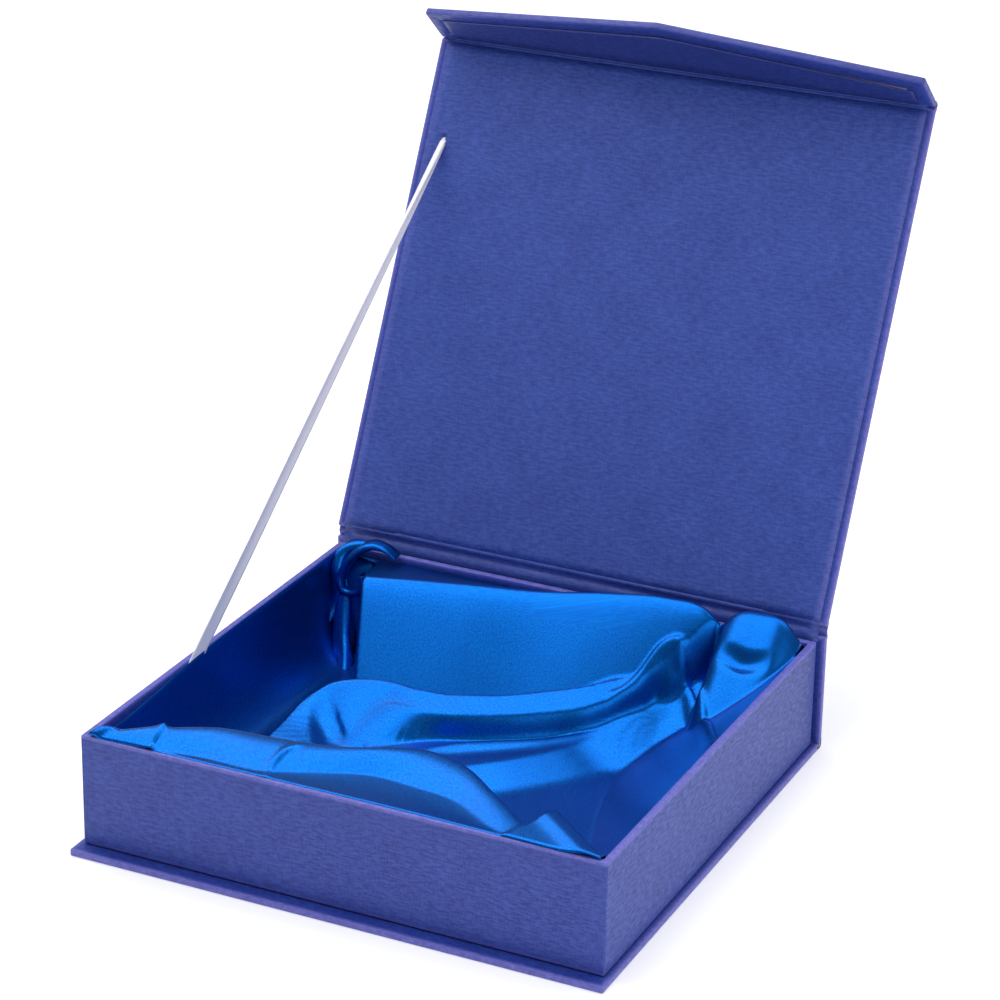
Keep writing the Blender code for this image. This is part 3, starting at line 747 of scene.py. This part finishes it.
def make_ribbon():
    """The taut ribbon: flat on the tray's wall, turning and rolling up until it enters the lid's slit."""
    tray_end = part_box("ribbon_end_tray")
    across, along = ribbon_slot()
    depth = -span("lid_liner", LID_AXIS, LID_OUT)[0]
    slot = on_lid(across, along, depth - 0.6 * MM)
    anchor = Vector((tray_end[0].x - 0.05 * MM, -22 * MM, 48 * MM))
    run = (slot - anchor).normalized()
    start = anchor - Vector((0, run.y, run.z)).normalized() * RIBBON_TUCK
    width = 8.5 * MM
    wall_side = Vector((0, -run.z, run.y)).normalized()
    sag = Vector((-0.9 * MM, 0, -1.2 * MM))
    steps, columns = 90, 9
    points, route = [], []
    total = (slot - start).length
    for i in range(steps + 1):
        t = i / steps
        free = max(0.0, (t - TUCK_SHARE) / (1 - TUCK_SHARE))
        centre = start.lerp(anchor, t / TUCK_SHARE) if t < TUCK_SHARE else anchor.lerp(slot, free)
        centre = centre + sag * math.sin(math.pi * free)
        side = wall_side.lerp(LID_RUN, free ** 1.5).normalized()
        thin = side.cross(run).normalized()
        curl = ribbon_curl(free)
        radius = width / curl
        middle = math.cos(curl / 2) * 0.5 + 0.5
        route.append(centre)
        for c in range(columns):
            s = c / (columns - 1) - 0.5
            angle = s * curl
            offset = side * radius * math.sin(angle) + thin * radius * (math.cos(angle) - middle)
            points.append(tuple(centre + offset))
    obj = sheet_piece("ribbon_stay", points, grid_faces(steps + 1, columns), in_tray, RIBBON, thickness=0)
    layer = obj.data.uv_layers["sheet"].data
    for loop in obj.data.loops:
        r, c = divmod(loop.vertex_index, columns)
        layer[loop.index].uv = (c * width / (columns - 1), r * total / steps)
    thicken_towards(obj, Vector((1, 0, 0)), 0.25 * MM)
    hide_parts("lid_stay_ribbon", "ribbon_end_tray")
    make_ribbon_end(depth - 0.3 * MM, width)
    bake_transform(obj)


def make_ribbon_end(depth, width):
    """The ribbon's glued end, lying flat behind the lid's liner."""
    across, along = ribbon_slot()
    xs = np.linspace(across + 1.6 * MM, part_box("ribbon_end_lid")[1].x, 8)
    ys = np.linspace(along - width / 2, along + width / 2, 7)
    points = [(x, y, depth) for y in ys for x in xs]
    faces = grid_faces(len(ys), len(xs))
    obj = sheet_piece("ribbon_end", points, faces, on_lid, RIBBON, thickness=0.15 * MM)
    keep(obj, "lid", "ribbon", "ribbon_end_lid")


# -------- satin lining, in millimetres

FLOOR = 7.0
WALL_X = 106.7
BACK_Y = 102.4
RIM_Z = 49.9
SATIN_THICKNESS = 0.25


def hermite(x, knots, values):
    """Smooth curve through knots; flat beyond both ends."""
    knots, values = np.array(knots, float), np.array(values, float)
    slope = np.gradient(values, knots)
    x = np.clip(x, knots[0], knots[-1])
    i = np.clip(np.searchsorted(knots, x) - 1, 0, len(knots) - 2)
    h = knots[i + 1] - knots[i]
    t = (x - knots[i]) / h
    return ((2 * t**3 - 3 * t**2 + 1) * values[i] + (t**3 - 2 * t**2 + t) * h * slope[i]
            + (3 * t**2 - 2 * t**3) * values[i + 1] + (t**3 - t**2) * h * slope[i + 1])


def step_up(t):
    """0 below 0, 1 above 1 and a smooth step between."""
    t = np.clip(t, 0, 1)
    return t * t * (3 - 2 * t)


def soft_max(a, b, k):
    """The higher of two surfaces, rounded over k where they cross."""
    h = np.clip(0.5 + 0.5 * (a - b) / k, 0, 1)
    return b + (a - b) * h + k * h * (1 - h)


def along_route(x, y, route, count=220):
    """Signed distance from a route through (x, y, ...) knots, above 0 on its left.

    Also gives the value of each further column of the knots at the nearest point.
    """
    route = np.array(route, float)
    t = np.arange(len(route))
    fine = np.linspace(0, len(route) - 1, count)
    line = np.stack([hermite(fine, t, route[:, k]) for k in range(route.shape[1])], axis=1)
    px, py = line[:, 0], line[:, 1]
    flat_x, flat_y = x.ravel(), y.ravel()
    best = np.full(flat_x.shape, 1e9)
    index = np.zeros(flat_x.shape, int)
    for j in range(count):
        d = (flat_x - px[j]) ** 2 + (flat_y - py[j]) ** 2
        nearer = d < best
        best[nearer] = d[nearer]
        index[nearer] = j
    tx, ty = np.gradient(px), np.gradient(py)
    side = np.sign(tx[index] * (flat_y - py[index]) - ty[index] * (flat_x - px[index]))
    distance = np.sqrt(best) * side
    values = [line[index, k].reshape(x.shape) for k in range(2, route.shape[1])]
    return distance.reshape(x.shape), values


def fold(x, y, route, left, right):
    """Height of a fold along a route of (x, y, height), with its own reach on each side."""
    distance, (height,) = along_route(x, y, route)
    reach = np.where(distance > 0, left, right)
    t = np.clip(np.abs(distance) / reach, 0, 1)
    return height * (1 - t ** 2) ** 2


HANG_REACH = 24.0


def left_wall(d, height):
    """Cloth hanging at the left wall: d from the wall, height of its top edge."""
    t = np.clip(1 - d / HANG_REACH, 0, 1)
    return FLOOR + (height - FLOOR) * (1 - (1 - t ** 3) ** (1 / 3))


def satin_height(x, y):
    """Height of the satin over the tray's plan; x and y are measured from the box's middle."""
    top_left = hermite(y, [-101, -94, -82, -60, -29, 90], [49.4, 46.6, 45.4, 46.2, 48.4, 49.2])
    z = left_wall(x + WALL_X, top_left)

    # right side: a broad taut slope from the floor up to the wall
    foot = hermite(y, [-102, -60, -30, 0, 31, 64, 90, 102], [100, 84, 70, 60, 54, 53, 58, 62])
    rise = np.clip((x - foot) / (WALL_X - foot), 0, 1)
    slope = FLOOR + (48.3 - FLOOR) * (0.86 * rise + 0.14 * rise ** 3)
    z = soft_max(z, slope, 1.6)

    # back panel, crowned above the wall towards the right
    places = [-106, -88, -60, -40, -10, 22, 48, 64, 72]
    crest_y = hermite(x, places, [82, 83.5, 87.5, 90.5, 95, 97.5, 98, 97, 95])
    crest_z = hermite(x, places, [45, 46.3, 48.3, 49.5, 51, 56, 59, 58, 53])
    steep = hermite(x, [-88, -60, -40, -10, 22, 40, 56, 72], [1.08, 1.08, 1.08, 1.1, 1.13, 1.2, 1.3, 1.5])
    gap = step_up((-86.0 + 0.4 * np.clip(81 - y, 0, 36) - x) / 3.5)
    crest_y = crest_y + gap * (100 - crest_y)
    steep = steep + gap * (3.2 - steep)
    fall = np.clip(crest_y - y, 0, None)
    panel = crest_z - steep * (np.sqrt(fall ** 2 + 9) - 3)
    trough = (x - 49) * 0.7 - (y - 77.5) * 0.715 - 1.5
    panel = panel - 5.0 * (np.hypot(np.clip(trough, 0, None), 1.2) - 1.2)
    behind = crest_z + (46.5 - crest_z) * step_up((y - crest_y) / np.maximum(BACK_Y - crest_y, 2))
    panel = np.where(y > crest_y, behind, panel)
    z = soft_max(z, np.where(x < 73, panel, panel - (x - 73) * 3), 2.0)

    # bulge at the back right corner
    lump_y = hermite(x, [70, 80, 92, 104], [97, 98.5, 98.5, 97])
    lump_z = hermite(x, [70, 76, 88, 100, 107], [50, 57, 60.5, 58.3, 50.4])
    front = np.clip(lump_y - y, 0, None)
    lump = lump_z - 0.96 * (np.sqrt(front ** 2 + 16) - 4)
    lump = np.where(y > lump_y, lump_z + (47 - lump_z) * step_up((y - lump_y) / 5), lump)
    dent = [(75, 85, 0), (81, 83, -2.2), (87, 81.5, -3.2), (93, 81.5, -2.2), (99, 83, 0)]
    lump = lump + fold(x, y, dent, 3.4, 6.0)
    lump = np.where(x > 72.5, lump, lump - (72.5 - x) * 6)
    z = soft_max(z, lump, 1.5)

    return front_roll(x, y, floor_folds(x, y, z))


def ridge(x, y, route, soft=1.5):
    """A fold whose front crest follows (x, y, z, top, rise, front slope, back slope) points.

    Behind the crest the fold's top goes on rising over its width before it falls away.
    """
    distance, (crest, top, rise, front, back) = along_route(x, y, route)
    ahead = np.clip(-distance, 0, None)
    behind = np.clip(distance - top, 0, None)
    crown = crest + rise * np.clip(distance, 0, top)
    return crown - front * (np.hypot(ahead, soft) - soft) - back * (np.hypot(behind, soft) - soft)


# Routes of the large folds, each point as ridge() takes it.
LOAF = [(-66, 34, 14, 1, 0.3, 0.5, 1.6), (-55.6, 31.3, 18.5, 4, 0.35, 0.5, 1.6),
        (-45, 28, 21, 6, 0.38, 0.6, 1.5), (-35, 26.3, 21.8, 8, 0.38, 0.9, 1.4),
        (-25, 27, 22, 9, 0.36, 2.0, 1.4), (-14.5, 29, 22, 10, 0.36, 3.6, 1.4),
        (2.8, 37.2, 22, 10, 0.38, 4, 1.4), (19.2, 47.1, 23, 10, 0.42, 4, 1.4),
        (31.5, 55, 25, 9, 0.44, 4, 1.4), (41, 65, 27.8, 7, 0.44, 4, 1.4),
        (46, 71.5, 30.8, 3, 0.4, 4, 1.4), (50, 77.5, 33.8, 0, 0.3, 4, 1.4),
        (57, 82.4, 39.5, 0, 0, 4, 1.4), (63, 91, 49, 0, 0, 4, 1.6)]
SHOULDER = [(-83, -26, 7, 0, 0, 0.15, 1.2), (-83, -8, 11.5, 0, 0, 0.2, 1.6),
            (-82, 5, 14, 0, 0, 0.24, 2.0), (-81, 17, 17, 0, 0, 0.3, 2.2),
            (-78, 26, 19.5, 0, 0, 0.35, 2.2), (-72, 32, 22.5, 0, 0, 0.5, 2.0),
            (-60, 36, 24.5, 0, 0, 0.6, 1.6), (-48, 36.5, 25.3, 0, 0, 0.8, 1.4),
            (-36, 35, 25.3, 0, 0, 1.0, 1.4), (-24, 36, 24, 0, 0, 1.2, 1.4)]
LIP = [(-36, -2, 9, 0, 0, 0.3, 0.5), (-22, 10, 12.6, 0, 0, 0.36, 1.4),
       (-9.2, 18.7, 14.6, 0, 0, 0.42, 1.8), (2, 26, 14.8, 0, 0, 0.42, 1.8),
       (15, 34.4, 14.8, 0, 0, 0.42, 1.8), (25, 42.5, 14.9, 0, 0, 0.42, 1.8),
       (34, 51.3, 15.8, 0, 0, 0.42, 1.8), (43, 62.5, 19.5, 0, 0, 0.5, 1.8), (50, 74, 23, 0, 0, 0.6, 1.8),
       (57, 82, 26.5, 0, 0, 0.6, 1.8), (66, 87.5, 31, 0, 0, 0.6, 1.5)]
CREASE = [(-24, -36, 9, 0, 0, 0.2, 0.1), (-8, -14, 12, 0, 0, 0.3, 0.08),
          (-1.1, 2.4, 13.2, 0, 0, 0.36, 0.06), (12.9, 16.5, 13.4, 0, 0, 0.36, 0.06),
          (26.3, 32.4, 13.6, 0, 0, 0.36, 0.06), (35.9, 47.5, 14.2, 0, 0, 0.36, 0.1),
          (49.6, 66.8, 17.4, 0, 0, 0.34, 0.3), (60, 78, 22, 0, 0, 0.34, 0.5)]


VALLEY = [(-74, 30, 0), (-71, 20, -1.2), (-65, 10, -1.9), (-57, 0, -1.8), (-50, -10, 0)]
PLEAT = [(36, 62, 0), (41, 66, 1.4), (47, 76, 1.8), (52, 83, 2.0), (60, 84, 2.0), (72, 72, 2.0),
         (84, 52, 2.0), (96, 26, 1.8), (104, 8, 1.4)]


def floor_folds(x, y, z):
    """The large folds that cross the floor from the left to the back right."""
    for route, blend, soft in ((SHOULDER, 2.5, 1.5), (CREASE, 1.2, 0.6), (LIP, 1.0, 2.2), (LOAF, 2.4, 2.2)):
        z = soft_max(z, ridge(x, y, route, soft), blend)
    z = z + fold(x, y, VALLEY, 9.0, 8.0) * step_up((z - FLOOR) / 3)
    return z + fold(x, y, PLEAT, 2.4, 4.5)


def front_edge(x):
    """Where the satin ends on the rim of the front wall."""
    return hermite(x, [-107, -99, -88, -70, 60, 72, 92, 107],
                   [-104.0, -104, -103.5, -103.3, -103.3, -103.6, -104.1, -103.6])


def front_roll(x, y, z):
    """Satin turned over the front wall: it rises to a soft crest, then drops to the floor."""
    front = front_edge(x)
    crest_y = hermite(x, [-107, -98, -90, -79, -63, -40, -14, 6, 18, 31, 39, 50.5, 61, 71, 80, 107],
                      [-101.5, -99, -96, -91, -84, -81, -76, -69, -65, -66.8, -70.4, -78.8, -86.6, -94,
                       -99, -101])
    crest_z = hermite(x, [-107, -98, -90, -79, -63, -40, -14, 8, 33, 50, 61, 71, 80, 107],
                      [50.3, 51.8, 53, 53.8, 54.5, 54.5, 54.3, 55.3, 54.4, 53.2, 52.2, 50.9, 50.4, 50.2])
    t = np.clip((y - front) / (crest_y - front), 0, 1)
    flat = hermite(x, [-107, -84, -60, -36, -18, 0, 20, 50, 68, 107],
                   [0.0, 0.05, 0.2, 0.18, 0.45, 0.6, 0.5, 0.45, 0.15, 0.0])
    u = np.clip((t - flat) / (1 - flat), 0, 1)
    rise = RIM_Z + (crest_z - RIM_Z) * np.sin(u * math.pi / 2) ** 1.15
    rise = rise - 1.1 * flat * np.sin(np.clip(t / (flat + 0.05), 0, 1) * math.pi)
    drop = np.clip(y - crest_y, 0, None)
    fall = crest_z - 2.4 * (np.sqrt(drop ** 2 + 12) - math.sqrt(12))
    roll = np.where(y > crest_y, soft_max(z, fall, 2.5), rise)
    return corner_folds(x, y, roll)


TRIANGLE = [(67.5, -103), (79, -81), (107.5, -102.5)]


def corner_folds(x, y, z):
    """Ends of the front roll: a loop and a lapped tip on the left, a folded triangle on the right."""
    loop = [(-107, -104.5, 0.8), (-104, -101.5, 1.9), (-100, -97.5, 2.0), (-96, -94, 0.0)]
    z = z + fold(x, y, loop, 3.2, 3.2)
    lap = x + 79.5 + (y + 102.5) * 0.1
    reach = step_up((-84 - y) / 3)
    z = z + np.where(lap < 0, 1.3 * np.exp(np.minimum(lap, 0) / 8), 0) * reach
    z = z + 1.8 * np.exp(-((x + 81.5) / 2.2) ** 2 - ((y + 88.5) / 3) ** 2)
    crease = [(-30, -102, 0.2), (-31.5, -94, 0.9), (-30, -86, 0.9), (-26, -79, 0.0)]
    z = z + fold(x, y, crease, 3.5, 1.2)
    (ax, ay), (bx, by), (cx, cy) = TRIANGLE
    inside_left = ((x - ax) * (by - ay) - (y - ay) * (bx - ax)) / math.hypot(bx - ax, by - ay)
    inside_right = ((cx - x) * (by - cy) - (cy - y) * (bx - cx)) / math.hypot(bx - cx, by - cy)
    top = 50.4 + 2.3 * (y - ay) / (by - ay) + 1.2 * np.exp(-((inside_right - 5) / 3.5) ** 2)
    triangle = top - 2.6 * np.clip(-inside_left, 0, None) - 3.0 * np.clip(-inside_right, 0, None)
    return soft_max(z, triangle, 0.5)


def satin_columns():
    """X places of the cloth's threads: close together where it hangs at the left wall."""
    d = np.linspace(0, HANG_REACH, 4001)
    z = left_wall(d, 48.5)
    run = np.concatenate([[0], np.cumsum(np.hypot(np.diff(d), np.diff(z)))])
    hang = np.interp(np.linspace(0, run[-1], 56), run, d)
    return np.concatenate([hang - WALL_X, np.linspace(hang[-1] - WALL_X + 1, WALL_X, 186)])


def measured(points, axis):
    """Length of cloth from the grid's first line to each point, along one of its axes."""
    steps = np.linalg.norm(np.diff(points, axis=axis), axis=2)
    return np.insert(np.cumsum(steps, axis=axis), 0, 0.0, axis=axis)


def make_satin():
    xs = satin_columns()
    ys = np.linspace(-102.5, BACK_Y, 230)
    x, y = np.meshgrid(xs, ys)
    y = y + (front_edge(x) - ys[0]) * (1 - step_up((y - ys[0]) / 8))
    z = satin_height(x, y)
    # the hem lies on the rim of the front wall
    z[0] -= 0.45
    points = np.stack([x, y, z], axis=2)
    run_x = measured(points, 1)
    run_y = measured(points, 0)
    flat = [Vector(p) * MM for p in points.reshape(-1, 3)]
    obj = sheet_piece("satin_drape", flat, grid_faces(len(ys), len(xs)), in_tray, SATIN, thickness=0)
    layer = obj.data.uv_layers["sheet"].data
    u, v = run_x.ravel() * MM, run_y.ravel() * MM
    for loop in obj.data.loops:
        layer[loop.index].uv = (u[loop.vertex_index], v[loop.vertex_index])
    thicken_towards(obj, Vector((0, 0, -1)), SATIN_THICKNESS * MM)
    keep(obj, "tray", "satin", "satin_lining")
    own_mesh(obj)
    make_scroll()


SCROLL_RING = [(-78.7, 96, 50.7), (-82.7, 96, 52.9), (-86.4, 96, 53.9), (-90.2, 95, 54.0),
               (-94.2, 94, 52.4), (-98.0, 93, 49.1), (-100.8, 92, 45.0), (-102.7, 91, 40.0),
               (-102.5, 90, 36.1), (-100.9, 90, 33.5), (-97.5, 90, 32.9), (-93.8, 90, 34.3),
               (-91.6, 90, 37.3), (-92.3, 91, 42.0)]
SCROLL_DROP = [(-101.2, 94, 38), (-101.0, 91, 31), (-99.8, 86, 23.5), (-97.2, 80, 16), (-93.6, 73.5, 9.5),
               (-90.6, 67, 4), (-88, 60, 0)]
SCROLL_TAIL = [(-90.0, 100.5, 52.0), (-95.5, 98.5, 52.2), (-101.0, 96, 50.6), (-104.3, 93, 47.6),
               (-105.1, 90.5, 43.0), (-104.7, 90.5, 37.5), (-104.3, 90.5, 31.3), (-104.9, 89.0, 25.8),
               (-105.6, 84, 21.0)]


def folded_band(name, route, half, reach):
    """A fold of cloth whose closed edge follows a route and whose two layers run back from it."""
    route = np.array(route, float)
    t = np.arange(len(route))
    fine = np.linspace(0, len(route) - 1, 12 * len(route))
    line = np.stack([hermite(fine, t, route[:, k]) for k in range(3)], axis=1)
    ahead = np.gradient(line, axis=0)
    across = np.stack([-ahead[:, 2], np.zeros(len(line)), ahead[:, 0]], axis=1)
    across /= np.linalg.norm(across, axis=1)[:, None]
    along = np.linspace(-1, 1, len(line))
    halves = half * (1 - np.where(along < 0, 0.8, 0.25) * np.abs(along) ** 3)
    section = [(-1, reach), (-1, 4), (-0.96, 2), (-0.8, 0.9), (-0.45, 0.2), (0, 0), (0.45, 0.2), (0.8, 0.9),
               (0.96, 2), (1, 4), (1, reach)]
    points = []
    for centre, side, width in zip(line, across, halves):
        for place, back in section:
            point = centre + side * place * width + np.array([0, back, 0])
            inside = (max(point[0], 0.1 - WALL_X), min(point[1], BACK_Y - 0.2), max(point[2], FLOOR))
            points.append(Vector(inside) * MM)
    obj = sheet_piece(name, points, grid_faces(len(line), len(section)), in_tray, SATIN, thickness=0)
    thicken_towards(obj, Vector((0, 1, 0)), SATIN_THICKNESS * MM)
    keep(obj, "tray", "satin")
    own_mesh(obj)
    return obj


def make_scroll():
    """The satin's gathered corner at the back left, a rolled loop with a tail hanging down the wall."""
    return [folded_band("satin_scroll_ring", SCROLL_RING, 1.9, 9),
            folded_band("satin_scroll_tail", SCROLL_TAIL, 3.1, 7),
            folded_band("satin_scroll_drop", SCROLL_DROP, 4.2, 8)]


# -------- parts that keep their CAD shape

def finish_boards():
    """Gives each CAD node that stays in sight the finish its name calls for."""
    finishes = {"board": BOARD, "wall": BOARD, "stay": STAY, "pad": GLUE, "plate": STEEL, "magnet": MAGNET}
    for name, obj in frame["nodes"].items():
        if obj.hide_render:
            continue
        key = next(k for k in finishes if k in name)
        obj.data.materials.clear()
        obj.data.materials.append(finishes[key])


def add_floor():
    mat, tree, shader = new_material("paper_backdrop")
    tone = noise(tree, object_mm(tree), 0.01, 2.0)
    link(tree, mix_colour(tree, tone, (0.90, 0.90, 0.90), (0.93, 0.93, 0.93)), shader, "Base Color")
    shader.inputs["Roughness"].default_value = 0.9
    shader.inputs["Emission Color"].default_value = (1, 1, 1, 1)
    shader.inputs["Emission Strength"].default_value = 0.25
    mesh = bpy.data.meshes.new("floor")
    reach = 6.0
    corners = [(x, y, 0) for x, y in rectangle((-reach, -reach), (reach, reach))]
    mesh.from_pydata(corners, [], [(0, 1, 2, 3)])
    mesh.materials.append(mat)
    floor = bpy.data.objects.new("floor", mesh)
    floor.location.z = -0.05 * MM
    bpy.context.scene.collection.objects.link(floor)


def add_light():
    """Three softboxes under a sky that is dim low down, brighter overhead and pale at the horizon."""
    world = bpy.data.worlds.new("studio")
    bpy.context.scene.world = world
    world.use_nodes = True
    tree = world.node_tree
    direction = node(tree, "TexCoord").outputs["Generated"]
    up = node(tree, "SeparateXYZ", {0: direction}).outputs["Z"]
    smooth = {"interpolation_type": "SMOOTHSTEP"}
    sky = node(tree, "MapRange", {0: up, 1: 0.05, 2: 0.8, 3: 0.12, 4: 0.45}, **smooth).outputs[0]
    horizon = node(tree, "MapRange", {0: up, 1: 0.08, 2: 0.15, 3: 0.75, 4: 0.0}, **smooth).outputs[0]
    link(tree, math_node(tree, "ADD", sky, horizon), tree.nodes["Background"], "Strength")
    tree.nodes["Background"].inputs["Color"].default_value = (1, 1, 1, 1)
    add_softbox("overhead", -98, 66, 1.4, (1.6, 1.6), 20)
    add_softbox("right", 62, 22, 0.9, (0.7, 0.6), 2.2)
    add_softbox("backdrop", 160, 50, 1.9, (1.4, 1.4), 12)


bpy.context.scene.view_settings.view_transform = "Standard"
add_camera()
add_light()
add_floor()
make_base()
make_spine()
make_tray()
make_lid()
make_flap()
make_hinge()
make_flap_crease()
make_ribbon()
make_satin()
finish_boards()
